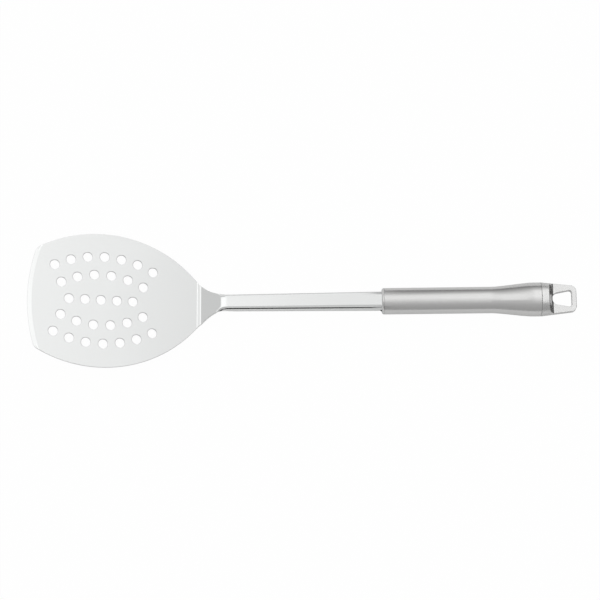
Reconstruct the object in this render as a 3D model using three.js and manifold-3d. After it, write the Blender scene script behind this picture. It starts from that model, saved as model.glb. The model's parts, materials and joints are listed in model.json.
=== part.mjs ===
// Perforated kitchen turner in stainless steel: a stamped blade and shank in one piece, a hollow
// handle tube, a nose bush that closes the tube round the shank, and a cast end cap with a hanging eye.
// Millimetres, +Z up, +X from the blade towards the handle. The turner lies on a table as it would by
// itself, on the heel of the blade and on the swell of the handle, with its origin on the table.
import * as THREE from "three";
import { mergeVertices } from "three/addons/utils/BufferGeometryUtils.js";
import Module from "manifold-3d";

// Sheet and clearances
const SHEET = 1.5; // thickness of the stamped blade and shank
const FIT = 0.15; // radial clearance of a spigot in the tube
const SEAM = 0.2; // gap at the two seams of the tube
const SLOT_FIT = 0.2; // clearance round the shank in the nose bush

// Blade, seen from above
const BLADE_LENGTH = 116.1; // front edge to the start of the heel bend
const BLADE_HALF_WIDTH = 46.5;
const HEEL_HALF_WIDTH = 15.93; // where the heel bend starts
const WIDEST_SHARE = 0.572; // of the length, from the heel bend to the widest place
const FRONT_RADIUS = 115;
const CORNER_RADIUS = 6;
const BEVEL_WIDTH = 2.6; // ground bevel along the front edge
const BEVEL_EDGE = 0.6; // thickness left at the front edge

// Drain holes, in rows that follow the side of the blade
const HOLE_RADIUS = 3.25;
const MIDDLE_ROW_HOLES = 5; // each row further out has one more
const MIDDLE_PITCH_SHARE = 0.0935; // of the length of the blade, like the next
const SIDE_PITCH_SHARE = 0.1;
const SIDE_ROW_INSETS = [28.9, 16.2]; // from the side of the blade, the inner row first
const SIDE_ROW_EASE = 2.75; // how much larger the radius of a row is than the inset alone gives
const ROW_SHIFT = 0.95; // each row further out sits this much nearer the handle
const HOLE_WEB = 1.6; // least metal between a hole and its neighbour or the rim

// Side view of the stamping
const NECK_ANGLE = 46; // degrees, neck against blade
const SHANK_ANGLE = 15.7; // degrees, shank against blade
const HEEL_BEND_RADIUS = 4.5; // at the middle of the sheet
const NECK_STRAIGHT = 14;
const NECK_BEND_RADIUS = 12;
const SHANK_LENGTH = 104.2; // neck bend to nose bush
const TANG_LENGTH = 14; // shank inside the handle

// Shank, a strip with both edges folded down
const FOLD_RADIUS = 2.4; // outside
const FOLD_ANGLE = 80; // degrees, so the flanges lean out a little
const SHANK_FRONT_HALF_WIDTH = 5.8;
const SHANK_FRONT_DEPTH = 5;
const SHANK_REAR_DEPTH = 6.2;
const SHANK_ABOVE_AXIS = 4; // top of the shank over the axis of the handle
const SHANK_INSET = 0.25; // lower corner of the shank inside the flat of the nose
const FOLD_START = 14.5; // along the neck, where its edges start to turn down
const FOLD_END = 30;
const NECK_BLEND = 24; // length over which the blade narrows to the shank
const NECK_EASE = 0.9; // share of the blade's own slope that the neck starts with

// Handle tube and nose bush
const TUBE_RADIUS = 9;
const TUBE_WALL = 0.8;
const TUBE_LENGTH = 106.1;
const TUBE_END_RADIUS = 11.55;
const FLARE_LENGTH = 29;
const FLARE_EASE = 7; // how far the flare stays along the tube at each end
const TUBE_SEAT = 4.8; // straight stretch at the rear that takes the end cap
const NOSE_LENGTH = 1.7;
const NOSE_ROUND = 2.1;
const NOSE_WALL = 1.6;
const NOSE_SPIGOT = 8;
const SPIGOT_WALL = 0.8;

// End cap
const CAP_PROUD = 0.05; // ring of the cap over the tube
const CAP_TAPER = 0.111; // loss of radius for each millimetre along the cap
const RING_WIDTH = 5;
const COVE_LENGTH = 3.4; // hollow between the ring and the flat lug
const LUG_LENGTH = 16.6;
const LUG_THICKNESS = 4;
const LUG_CORNER = 4.6;
const CAP_SPIGOT = 4.4;
const CAP_WALL = 1.2;
const CAP_FLOOR = 2.4; // metal left behind the cove
const EYE_BITE = 0.4; // how far the eye reaches into the cove
const EYE_END_BAR = 3.6;
const EYE_REAR_LEG = 3.2;
const EYE_FRONT_LEG = 7.1;
const EYE_CORNER = 1.8;

// Fineness of the facets
const ARC_STEPS = 12;
const BEND_STEPS = 7;
const FOLD_STEPS = 5;
const ROUND_STEPS = 64;

const wasm = await Module();
wasm.setup();

const radians = THREE.MathUtils.degToRad;

// Solids, joined and cut

/** A closed geometry as a solid that can be joined and cut. */
function toSolid(geometry) {
  const bare = geometry.clone();
  for (const name of Object.keys(bare.attributes)) {
    if (name !== "position") bare.deleteAttribute(name);
  }
  const merged = mergeVertices(bare, 1e-4);
  const vertProperties = new Float32Array(merged.attributes.position.array);
  const triVerts = new Uint32Array(merged.index.array);
  return new wasm.Manifold(new wasm.Mesh({ numProp: 3, vertProperties, triVerts }));
}

/** The geometry of a solid. */
function toGeometry(solid) {
  const mesh = solid.getMesh();
  const geometry = new THREE.BufferGeometry();
  geometry.setAttribute("position", new THREE.BufferAttribute(mesh.vertProperties, 3));
  geometry.setIndex(new THREE.BufferAttribute(mesh.triVerts, 1));
  const flat = geometry.toNonIndexed();
  flat.computeVertexNormals();
  return flat;
}

/** A profile of (distance along the axis, radius) points turned about the X axis. */
function turned(profile) {
  const points = profile.map(([along, radius]) => new THREE.Vector2(radius, along));
  return new THREE.LatheGeometry(points, ROUND_STEPS).rotateZ(-Math.PI / 2);
}

/** A shape drawn in X and Y, raised from one height to another. */
function raised(shape, from, to) {
  const options = { depth: to - from, bevelEnabled: false, curveSegments: ARC_STEPS };
  return new THREE.ExtrudeGeometry(shape, options).translate(0, 0, from);
}

/** A shape drawn in X and Z, extruded across Y to half the width on either side. */
function across(shape, halfWidth) {
  return raised(shape, -halfWidth, halfWidth).rotateX(Math.PI / 2);
}

/** A shape drawn in Y and Z, extruded along X from one place to another. */
function along(shape, from, to) {
  return raised(shape, from, to).rotateY(Math.PI / 2).rotateX(Math.PI / 2);
}

/** A polygon with its corners rounded, as a path. Each point is [x, y, radius]. */
function roundedPolygon(path, points) {
  points.forEach(([x, y, radius], i) => {
    const corner = new THREE.Vector2(x, y);
    const [before, after] = [points.at(i - 1), points[(i + 1) % points.length]].map(
      ([px, py]) => new THREE.Vector2(px, py).sub(corner),
    );
    const half = Math.acos(before.clone().normalize().dot(after.clone().normalize())) / 2;
    const longest = 0.45 * Math.min(before.length(), after.length());
    const reach = Math.min(radius / Math.tan(half), longest);
    const start = corner.clone().add(before.setLength(reach));
    const end = corner.clone().add(after.setLength(reach));
    if (i === 0) path.moveTo(start.x, start.y);
    else path.lineTo(start.x, start.y);
    const bow = (4 / 3) * Math.tan((Math.PI - 2 * half) / 4) * Math.tan(half);
    const first = start.clone().lerp(corner, bow);
    const second = end.clone().lerp(corner, bow);
    path.bezierCurveTo(first.x, first.y, second.x, second.y, end.x, end.y);
  });
  path.closePath();
  return path;
}

// Blade, flat on X and Y with its top at Z 0 and the heel bend starting at X 0

const widest = WIDEST_SHARE * BLADE_LENGTH;
const swell = BLADE_HALF_WIDTH - HEEL_HALF_WIDTH;
const sideRadius = (swell ** 2 + widest ** 2) / (2 * swell);
const sideCentre = new THREE.Vector2(-widest, BLADE_HALF_WIDTH - sideRadius);
const frontCentre = new THREE.Vector2(FRONT_RADIUS - BLADE_LENGTH, 0);
const heelSlope = -widest / (sideRadius - swell);

/** The centre of the corner arc that touches the side arc and the front arc from inside. */
function cornerCentre() {
  const toSide = sideRadius - CORNER_RADIUS;
  const toFront = FRONT_RADIUS - CORNER_RADIUS;
  const line = frontCentre.clone().sub(sideCentre);
  const gap = line.length();
  const share = (gap ** 2 + toSide ** 2 - toFront ** 2) / (2 * gap);
  const height = Math.sqrt(toSide ** 2 - share ** 2);
  const unit = line.normalize();
  const normal = new THREE.Vector2(-unit.y, unit.x);
  return sideCentre.clone().addScaledVector(unit, share).addScaledVector(normal, height);
}

/** The outline of the flat blade, both sides alike, cut off at the heel. */
function bladeOutline() {
  const corner = cornerCentre();
  const heel = new THREE.Vector2(0, HEEL_HALF_WIDTH).sub(sideCentre).angle();
  const sideEnd = corner.clone().sub(sideCentre).angle();
  const frontEnd = corner.clone().sub(frontCentre).angle();
  const shape = new THREE.Shape();
  shape.absarc(sideCentre.x, sideCentre.y, sideRadius, heel, sideEnd, false);
  shape.absarc(corner.x, corner.y, CORNER_RADIUS, sideEnd, frontEnd, false);
  shape.absarc(frontCentre.x, 0, FRONT_RADIUS, frontEnd, 2 * Math.PI - frontEnd, false);
  shape.absarc(corner.x, -corner.y, CORNER_RADIUS, -frontEnd, -sideEnd, false);
  shape.absarc(sideCentre.x, -sideCentre.y, sideRadius, -sideEnd, -heel, false);
  shape.closePath();
  return shape;
}

/** Whether a hole keeps its web to the rim and the heel. */
function clearOfRim(centre) {
  const inside = HOLE_RADIUS + HOLE_WEB;
  const upper = new THREE.Vector2(centre.x, Math.abs(centre.y));
  return (
    upper.distanceTo(sideCentre) <= sideRadius - inside &&
    upper.distanceTo(frontCentre) <= FRONT_RADIUS - BEVEL_WIDTH - inside &&
    centre.x <= -inside
  );
}

/** Hole centres: a straight middle row, and rows on either side that follow the side of the blade. */
function holeCentres() {
  const found = [];
  const place = (x, y) => {
    const centre = new THREE.Vector2(x, y);
    const apart = found.every((other) => other.distanceTo(centre) >= 2 * HOLE_RADIUS + HOLE_WEB);
    if (apart && clearOfRim(centre)) found.push(centre);
  };
  const middlePitch = MIDDLE_PITCH_SHARE * BLADE_LENGTH;
  for (let i = 0; i < MIDDLE_ROW_HOLES; i++) {
    place(sideCentre.x + (i - (MIDDLE_ROW_HOLES - 1) / 2) * middlePitch, 0);
  }
  const sidePitch = SIDE_PITCH_SHARE * BLADE_LENGTH;
  SIDE_ROW_INSETS.forEach((inset, row) => {
    const radius = sideRadius - inset + SIDE_ROW_EASE;
    const count = MIDDLE_ROW_HOLES + row + 1;
    for (let i = 0; i < count; i++) {
      const arc = (i - (count - 1) / 2) * sidePitch + (row + 1) * ROW_SHIFT;
      const x = sideCentre.x + radius * Math.sin(arc / radius);
      const y = sideCentre.y - SIDE_ROW_EASE + radius * Math.cos(arc / radius);
      place(x, y);
      place(x, -y);
    }
  });
  return found;
}

/** The cone above the bevel of the front edge, as a ring round the centre of the front arc. */
function bevelCutter() {
  const outside = 1; // how far the cutter runs past the blade
  const drop = (SHEET - BEVEL_EDGE) / BEVEL_WIDTH;
  const inner = FRONT_RADIUS - BEVEL_WIDTH;
  const outer = FRONT_RADIUS + outside;
  const profile = [
    [inner, 0],
    [outer, -drop * (BEVEL_WIDTH + outside)],
    [outer, outside],
    [inner, outside],
    [inner, 0],
  ].map(([radius, height]) => new THREE.Vector2(radius, height));
  const steps = 3 * ROUND_STEPS;
  return new THREE.LatheGeometry(profile, steps).rotateX(Math.PI / 2).translate(frontCentre.x, 0, 0);
}

/** The flat, perforated blade with its ground front edge. */
function bladePlate() {
  const outline = bladeOutline();
  for (const centre of holeCentres()) {
    const hole = new THREE.Path();
    hole.absarc(centre.x, centre.y, HOLE_RADIUS, 0, 2 * Math.PI, true);
    outline.holes.push(hole);
  }
  return toSolid(raised(outline, -SHEET, 0)).subtract(toSolid(bevelCutter()));
}

// Neck and shank, a loft of folded-strip sections along the side view

const foldMiddle = FOLD_RADIUS - SHEET / 2;
const foldTurn = radians(FOLD_ANGLE);
const foldLength = foldMiddle * foldTurn;
const heelBend = HEEL_BEND_RADIUS * radians(NECK_ANGLE);
const neckBend = NECK_BEND_RADIUS * radians(NECK_ANGLE - SHANK_ANGLE);
const shankStart = heelBend + NECK_STRAIGHT + neckBend;
const shankEnd = shankStart + SHANK_LENGTH;
const noseFlat = TUBE_RADIUS - NOSE_ROUND;
const shankBelowAxis = SHANK_REAR_DEPTH - SHANK_ABOVE_AXIS;
const shankRearHalfWidth = Math.sqrt((noseFlat - SHANK_INSET) ** 2 - shankBelowAxis ** 2);

/** The side view: place on the middle of the sheet and slope, at a length from the heel bend. */
function sideView(length) {
  const place = new THREE.Vector2(0, -SHEET / 2);
  let slope = 0;
  const bend = (share, radius, sign) => {
    const turn = share / radius;
    const mid = slope + (sign * turn) / 2;
    const chord = 2 * radius * Math.sin(turn / 2);
    place.add(new THREE.Vector2(Math.cos(mid), Math.sin(mid)).multiplyScalar(chord));
    slope += sign * turn;
  };
  const straight = (share) => {
    place.add(new THREE.Vector2(Math.cos(slope), Math.sin(slope)).multiplyScalar(share));
  };
  if (length < 0) {
    straight(length);
    return { place, slope };
  }
  bend(Math.min(length, heelBend), HEEL_BEND_RADIUS, 1);
  straight(THREE.MathUtils.clamp(length - heelBend, 0, NECK_STRAIGHT));
  bend(THREE.MathUtils.clamp(length - heelBend - NECK_STRAIGHT, 0, neckBend), NECK_BEND_RADIUS, -1);
  straight(Math.max(length - shankStart, 0));
  return { place, slope };
}

/** Half the width of the strip, seen from above, at a length from the heel bend. */
function halfWidthAt(length) {
  const t = THREE.MathUtils.clamp(length / NECK_BLEND, 0, 1);
  const keepHeel = 1 - t * t * (3 - 2 * t);
  const lean = t * (1 - t) ** 2 * NECK_BLEND * heelSlope * NECK_EASE;
  const shank = THREE.MathUtils.mapLinear(
    Math.max(length, NECK_BLEND),
    NECK_BLEND,
    shankEnd,
    SHANK_FRONT_HALF_WIDTH,
    shankRearHalfWidth,
  );
  return HEEL_HALF_WIDTH * keepHeel + lean + shank * (1 - keepHeel);
}

/** Depth of the folded strip at a length from the heel bend. */
function depthAt(length) {
  const at = THREE.MathUtils.clamp(length, FOLD_END, shankEnd);
  return THREE.MathUtils.mapLinear(at, FOLD_END, shankEnd, SHANK_FRONT_DEPTH, SHANK_REAR_DEPTH);
}

/** Width of sheet that is turned down at either edge, at a length from the heel bend. */
function rolledAt(length) {
  const lip = (depthAt(length) - FOLD_RADIUS) / Math.sin(foldTurn);
  const left = THREE.MathUtils.clamp((FOLD_END - length) / (FOLD_END - FOLD_START), 0, 1);
  return (foldLength + lip) * (1 - left ** 2);
}

/**
 * One section of the strip as [across, up] points round its edge, up counted from the middle of the sheet.
 * The rolled width at either edge is turned down over the fold radius, and grow thickens the strip all round.
 */
function stripSection(halfWidth, rolled, grow) {
  const full = Math.min(rolled / foldMiddle, foldTurn);
  const hang = Math.max(rolled - foldLength, 0);
  const flat = halfWidth - FOLD_RADIUS * Math.sin(full) - hang * Math.cos(foldTurn);
  const zone = Math.max(rolled, foldLength / 2);
  const bend = Math.min(foldLength, 0.7 * zone);
  const middle = [];
  const place = (past) => {
    const turn = THREE.MathUtils.clamp(past / foldMiddle, 0, foldTurn);
    const lip = Math.max(past - foldLength, 0);
    middle.push({
      across: flat + Math.min(past, 0) + foldMiddle * Math.sin(turn) + lip * Math.cos(foldTurn),
      up: -foldMiddle * (1 - Math.cos(turn)) - lip * Math.sin(foldTurn),
      turn,
    });
  };
  for (let i = 0; i <= FOLD_STEPS; i++) place(rolled - zone + (bend * i) / FOLD_STEPS);
  place(rolled + grow);
  const offset = (side) => ({ across, up, turn }) => [
    across + side * Math.sin(turn),
    up + side * Math.cos(turn),
  ];
  const mirrored = (points) => points.map(([across, up]) => [-across, up]).reverse();
  const top = middle.map(offset(SHEET / 2 + grow));
  const under = middle.map(offset(-SHEET / 2 - grow));
  return [...mirrored(top), ...top, ...under.toReversed(), ...mirrored(under.toReversed())];
}

/** Lengths along the strip where the loft has a section. */
function loftStations(start) {
  const stations = [start];
  const add = (from, to, steps) => {
    for (let i = 1; i <= steps; i++) stations.push(from + ((to - from) * i) / steps);
  };
  add(start, 0, 1);
  add(0, heelBend, BEND_STEPS);
  add(heelBend, heelBend + NECK_STRAIGHT, BEND_STEPS);
  add(heelBend + NECK_STRAIGHT, shankStart, BEND_STEPS);
  const foldDone = Math.max(FOLD_END, NECK_BLEND, shankStart + 1);
  add(shankStart, foldDone, FOLD_STEPS);
  add(foldDone, shankEnd, BEND_STEPS);
  add(shankEnd, shankEnd + TANG_LENGTH, 1);
  return stations;
}

/** The neck, shank and tang as one closed loft that starts a little inside the blade. */
function shankLoft() {
  const lap = 2; // start of the loft inside the blade
  const rings = loftStations(-lap).map((length) => {
    const { place, slope } = sideView(length);
    const at = Math.min(length, shankEnd);
    return stripSection(halfWidthAt(at), rolledAt(at), 0).map(
      ([across, up]) =>
        new THREE.Vector3(place.x - up * Math.sin(slope), across, place.y + up * Math.cos(slope)),
    );
  });
  const count = rings[0].length;
  const positions = rings.flat().flatMap((point) => point.toArray());
  const index = [];
  const quad = (a, b, c, d) => index.push(a, b, c, a, c, d);
  for (let r = 0; r + 1 < rings.length; r++) {
    for (let k = 0; k < count; k++) {
      const next = (k + 1) % count;
      quad(r * count + k, (r + 1) * count + k, (r + 1) * count + next, r * count + next);
    }
  }
  const last = (rings.length - 1) * count;
  for (let k = 0; k + 1 < count / 2; k++) {
    const facing = count - 1 - k;
    quad(k, k + 1, facing - 1, facing);
    quad(last + k, last + facing, last + facing - 1, last + k + 1);
  }
  const geometry = new THREE.BufferGeometry();
  geometry.setAttribute("position", new THREE.Float32BufferAttribute(positions, 3));
  geometry.setIndex(index);
  return geometry;
}

/** The whole stamping: perforated blade, neck, shank and tang in one sheet. */
function bladeAndShank() {
  return toGeometry(bladePlate().add(toSolid(shankLoft())));
}

// Handle, along X with its origin at the front face of the nose bush

const tubeStart = NOSE_LENGTH + SEAM;
const tubeEnd = tubeStart + TUBE_LENGTH;
const capStart = tubeEnd + SEAM;
const tubeBore = TUBE_RADIUS - TUBE_WALL;
const tubeEndBore = TUBE_END_RADIUS - TUBE_WALL;

/** The bush that closes the front of the tube: a round-edged cup with a slot the shape of the shank. */
function noseBush() {
  const spigot = tubeBore - FIT;
  const cup = spigot - SPIGOT_WALL;
  const back = NOSE_LENGTH + NOSE_SPIGOT;
  const [side, top] = [Math.PI, Math.PI / 2];
  const round = new THREE.EllipseCurve(NOSE_LENGTH, noseFlat, NOSE_LENGTH, NOSE_ROUND, side, top, true);
  const profile = [
    [0, 0],
    ...round.getPoints(ARC_STEPS).map((point) => point.toArray()),
    [NOSE_LENGTH, spigot],
    [back, spigot],
    [back, cup],
    [NOSE_WALL, cup],
    [NOSE_WALL, 0],
  ];
  const middle = SHANK_ABOVE_AXIS - SHEET / 2;
  const section = stripSection(shankRearHalfWidth, rolledAt(shankEnd), SLOT_FIT);
  const slot = new THREE.Shape(section.map(([y, up]) => new THREE.Vector2(y, middle + up)));
  const past = 1; // how far the slot cutter runs past the bush
  return toGeometry(toSolid(turned(profile)).subtract(toSolid(along(slot, -past, back + past))));
}

/** One wall of the tube as [along, radius] points: straight, flared, and straight again for the cap. */
function tubeWall(front, rear) {
  const flareEnd = tubeEnd - TUBE_SEAT;
  const flareStart = flareEnd - FLARE_LENGTH;
  const flare = new THREE.CubicBezierCurve(
    new THREE.Vector2(flareStart, front),
    new THREE.Vector2(flareStart + FLARE_EASE, front),
    new THREE.Vector2(flareEnd - FLARE_EASE, rear),
    new THREE.Vector2(flareEnd, rear),
  );
  return [[tubeStart, front], ...flare.getPoints(ARC_STEPS).map((p) => p.toArray()), [tubeEnd, rear]];
}

/** The hollow handle tube, open at both ends. */
function handleTube() {
  const outside = tubeWall(TUBE_RADIUS, TUBE_END_RADIUS);
  const inside = tubeWall(tubeBore, tubeEndBore).reverse();
  return toGeometry(toSolid(turned([...outside, ...inside, outside[0]])));
}

/** The cast end cap: a ring on a spigot, drawn out to a flat lug with a hanging eye. */
function endCap() {
  const radius = TUBE_END_RADIUS + CAP_PROUD;
  const length = RING_WIDTH + COVE_LENGTH + LUG_LENGTH;
  const radiusAt = (place) => radius - CAP_TAPER * place;
  const spigot = tubeEndBore - FIT;
  const core = spigot - CAP_WALL;
  const coreEnd = RING_WIDTH - CAP_FLOOR;
  const body = turned([
    [coreEnd, 0],
    [coreEnd, core],
    [-CAP_SPIGOT, core],
    [-CAP_SPIGOT, spigot],
    [0, spigot],
    [0, radius],
    [length, radiusAt(length)],
    [length, 0],
  ]);

  const past = 1; // how far each cutter runs past the cap
  const wide = radius + past;
  const corners = roundedPolygon(new THREE.Shape(), [
    [length, -radiusAt(length), LUG_CORNER],
    [length, radiusAt(length), LUG_CORNER],
    [-CAP_SPIGOT - past, wide + CAP_TAPER * (CAP_SPIGOT + past), 0],
    [-CAP_SPIGOT - past, -wide - CAP_TAPER * (CAP_SPIGOT + past), 0],
  ]);

  const coveEnd = RING_WIDTH + COVE_LENGTH;
  const face = LUG_THICKNESS / 2;
  const ringTop = radiusAt(RING_WIDTH);
  const cut = new THREE.Shape();
  cut.moveTo(RING_WIDTH, wide);
  cut.lineTo(RING_WIDTH, ringTop);
  cut.absellipse(coveEnd, ringTop, COVE_LENGTH, ringTop - face, Math.PI, 1.5 * Math.PI, false, 0);
  cut.lineTo(length + past, face);
  cut.lineTo(length + past, wide);
  cut.closePath();
  const above = toSolid(across(cut, wide));

  const eyeFront = coveEnd - EYE_BITE;
  const eyeRear = length - EYE_END_BAR;
  const frontHalf = radiusAt(eyeFront) - EYE_FRONT_LEG;
  const rearHalf = radiusAt(eyeRear) - EYE_REAR_LEG;
  const eye = roundedPolygon(new THREE.Shape(), [
    [eyeFront, -frontHalf, EYE_CORNER],
    [eyeRear, -rearHalf, EYE_CORNER],
    [eyeRear, rearHalf, EYE_CORNER],
    [eyeFront, frontHalf, EYE_CORNER],
  ]);

  const solid = toSolid(body)
    .intersect(toSolid(raised(corners, -wide, wide)))
    .subtract(above)
    .subtract(above.rotate([180, 0, 0]))
    .subtract(toSolid(raised(eye, -wide, wide)));
  return toGeometry(solid.translate([capStart, 0, 0]));
}

// Assembly

const polishedSteel = new THREE.MeshStandardMaterial({ color: 0xe4e5e5, roughness: 0.18, metalness: 1 });
const brushedSteel = new THREE.MeshStandardMaterial({ color: 0xbdbdba, roughness: 0.38, metalness: 1 });
const satinSteel = new THREE.MeshStandardMaterial({ color: 0xd3d3d1, roughness: 0.36, metalness: 1 });
const castSteel = new THREE.MeshStandardMaterial({ color: 0xd3d3d1, roughness: 0.42, metalness: 1 });

function named(name, geometry, material) {
  const mesh = new THREE.Mesh(geometry, material);
  mesh.name = name;
  return mesh;
}

const blade = named("blade_and_shank", bladeAndShank(), polishedSteel);
const handle = new THREE.Group();
handle.add(named("nose_bush", noseBush(), satinSteel));
handle.add(named("handle_tube", handleTube(), brushedSteel));
handle.add(named("end_cap", endCap(), castSteel));

// The handle stands square on the end of the shank, with its axis under the top of the shank.
const joint = sideView(shankEnd);
const axisDrop = SHANK_ABOVE_AXIS - SHEET / 2;
handle.rotation.y = -joint.slope;
handle.position.set(
  joint.place.x + axisDrop * Math.sin(joint.slope),
  0,
  joint.place.y - axisDrop * Math.cos(joint.slope),
);

const tool = new THREE.Group();
tool.add(blade, handle);

/** The corner points of an object, as seen with the tool turned. */
function cornersOf(object) {
  tool.updateMatrixWorld(true);
  const points = [];
  object.traverse((child) => {
    if (!child.isMesh) return;
    const positions = child.geometry.attributes.position;
    for (let i = 0; i < positions.count; i++) {
      points.push(new THREE.Vector3().fromBufferAttribute(positions, i).applyMatrix4(child.matrixWorld));
    }
  });
  return points;
}

/** Tips the tool until the heel of the blade and the handle touch the table together. */
function layOnTable() {
  const tries = 8;
  const lowest = (points) => points.reduce((low, point) => (point.z < low.z ? point : low));
  for (let i = 0; i < tries; i++) {
    const heel = lowest(cornersOf(blade));
    const swell = lowest(cornersOf(handle));
    tool.rotation.y += Math.atan2(swell.z - heel.z, swell.x - heel.x);
  }
  tool.updateMatrixWorld(true);
  const box = new THREE.Box3().setFromObject(tool, true);
  tool.position.set(-(box.min.x + box.max.x) / 2, 0, -box.min.z);
}
layOnTable();

const turner = new THREE.Group();
turner.add(tool);

export default turner;
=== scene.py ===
"""Looks of the perforated kitchen turner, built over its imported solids.

Each piece of the turner is a class that holds its own sizes in millimetres, in its own frame. The
stamping lies with the top of its blade at height 0 and its heel bend at X 0. The handle pieces lie
along X, with the front of the nose bush at X 0. Finished meshes are in metres, in the row frame.
"""

import json
import logging
import math
from abc import ABC, abstractmethod
from dataclasses import dataclass, field
from enum import Enum
from typing import NamedTuple

import bmesh
import bpy
import numpy as np
from mathutils import Matrix, Vector

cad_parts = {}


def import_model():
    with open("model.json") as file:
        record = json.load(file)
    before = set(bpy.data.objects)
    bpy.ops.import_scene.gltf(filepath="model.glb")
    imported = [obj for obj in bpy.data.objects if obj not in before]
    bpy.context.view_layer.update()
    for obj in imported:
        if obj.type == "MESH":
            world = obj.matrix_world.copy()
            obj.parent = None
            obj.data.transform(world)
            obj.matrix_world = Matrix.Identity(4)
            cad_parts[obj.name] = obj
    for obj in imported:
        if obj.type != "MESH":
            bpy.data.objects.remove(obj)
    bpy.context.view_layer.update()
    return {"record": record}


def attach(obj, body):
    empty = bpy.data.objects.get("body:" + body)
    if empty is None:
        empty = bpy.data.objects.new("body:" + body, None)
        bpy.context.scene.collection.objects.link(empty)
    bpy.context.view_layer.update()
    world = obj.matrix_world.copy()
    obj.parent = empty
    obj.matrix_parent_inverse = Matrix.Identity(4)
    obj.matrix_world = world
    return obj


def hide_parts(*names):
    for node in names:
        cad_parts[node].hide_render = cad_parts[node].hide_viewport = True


LOG = logging.getLogger("turner")
BODY = "root"

MM = 0.001  # metres in a millimetre
SLOPE_STEP = 1e-3  # step of a numeric slope, in millimetres
LEAST_SLOPE = 0.05  # keeps the scale of a field off zero where the field is flat
TINY = 1e-9  # keeps a length that divides off zero
MIX_FIRST, MIX_SECOND, MIX_RESULT = 6, 7, 2  # colour sockets of a Mix node


class Slot(Enum):
    """The record's material slots."""

    POLISHED = "polished_steel"
    BRUSHED = "brushed_steel"
    SATIN = "satin_steel"


class Place(NamedTuple):
    """A place on the flat blank: along it, across it and above the middle of the sheet."""

    along: float
    across: float
    up: float


class RimStation(NamedTuple):
    """A place on the rim of the flat blank, the way out of the metal there, and the bevel."""

    along: float
    across: float
    out_along: float
    out_across: float
    bevel: float


class Skin(NamedTuple):
    """A mesh as plain arrays, with the true normal at each vertex."""

    points: np.ndarray
    quads: np.ndarray
    normals: np.ndarray


# Small helpers


def round_max(first: np.ndarray, second: np.ndarray, radius: float) -> np.ndarray:
    """Join two fields where both are metal, with the edge between them rounded.

    Args:
        first: A field, negative inside its metal.
        second: Another field.
        radius: Radius of the rounded edge.

    Returns:
        The field of what the two share.
    """
    past_first = np.maximum(first + radius, 0)
    past_second = np.maximum(second + radius, 0)
    return np.minimum(-radius, np.maximum(first, second)) + np.hypot(past_first, past_second)


def link_object(name: str, mesh: bpy.types.Mesh) -> bpy.types.Object:
    """Put a mesh in the scene as an object at the origin.

    Args:
        name: Name of the object.
        mesh: Its mesh.

    Returns:
        The new object.
    """
    made = bpy.data.objects.new(name, mesh)
    bpy.context.scene.collection.objects.link(made)
    return made


def plain_mesh(name: str, bm: bmesh.types.BMesh) -> bpy.types.Mesh:
    """Turn a mesh under way into a plain mesh, and free it.

    Args:
        name: Name of the mesh.
        bm: The mesh under way.

    Returns:
        The plain mesh.
    """
    mesh = bpy.data.meshes.new(name)
    bm.to_mesh(mesh)
    bm.free()
    return mesh


def settle(piece: bpy.types.Object) -> None:
    """Turn what a piece's modifiers make into its plain mesh, and remove them.

    Args:
        piece: The object to settle.
    """
    bpy.context.view_layer.update()
    graph = bpy.context.evaluated_depsgraph_get()
    mesh = bpy.data.meshes.new_from_object(piece.evaluated_get(graph), depsgraph=graph)
    piece.modifiers.clear()
    old = piece.data
    piece.data = mesh
    mesh.name = piece.name
    bpy.data.meshes.remove(old)


def weigh_normals(piece: bpy.types.Object) -> None:
    """Shade a piece smooth with its large faces kept flat, so that reflections stay true.

    Args:
        piece: The object to shade.
    """
    piece.data.shade_smooth()
    modifier = piece.modifiers.new("weighted normals", "WEIGHTED_NORMAL")
    modifier.mode = "FACE_AREA"
    modifier.keep_sharp = True
    settle(piece)


def hand_over(piece: bpy.types.Object) -> None:
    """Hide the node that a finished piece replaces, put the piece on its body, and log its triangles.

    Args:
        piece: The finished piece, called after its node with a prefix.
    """
    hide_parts(piece.name.removeprefix("dressed_"))
    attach(piece, BODY)
    triangles = sum(len(polygon.vertices) - 2 for polygon in piece.data.polygons)
    LOG.info("%s: %d triangles", piece.name, triangles)


# Node trees


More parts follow.
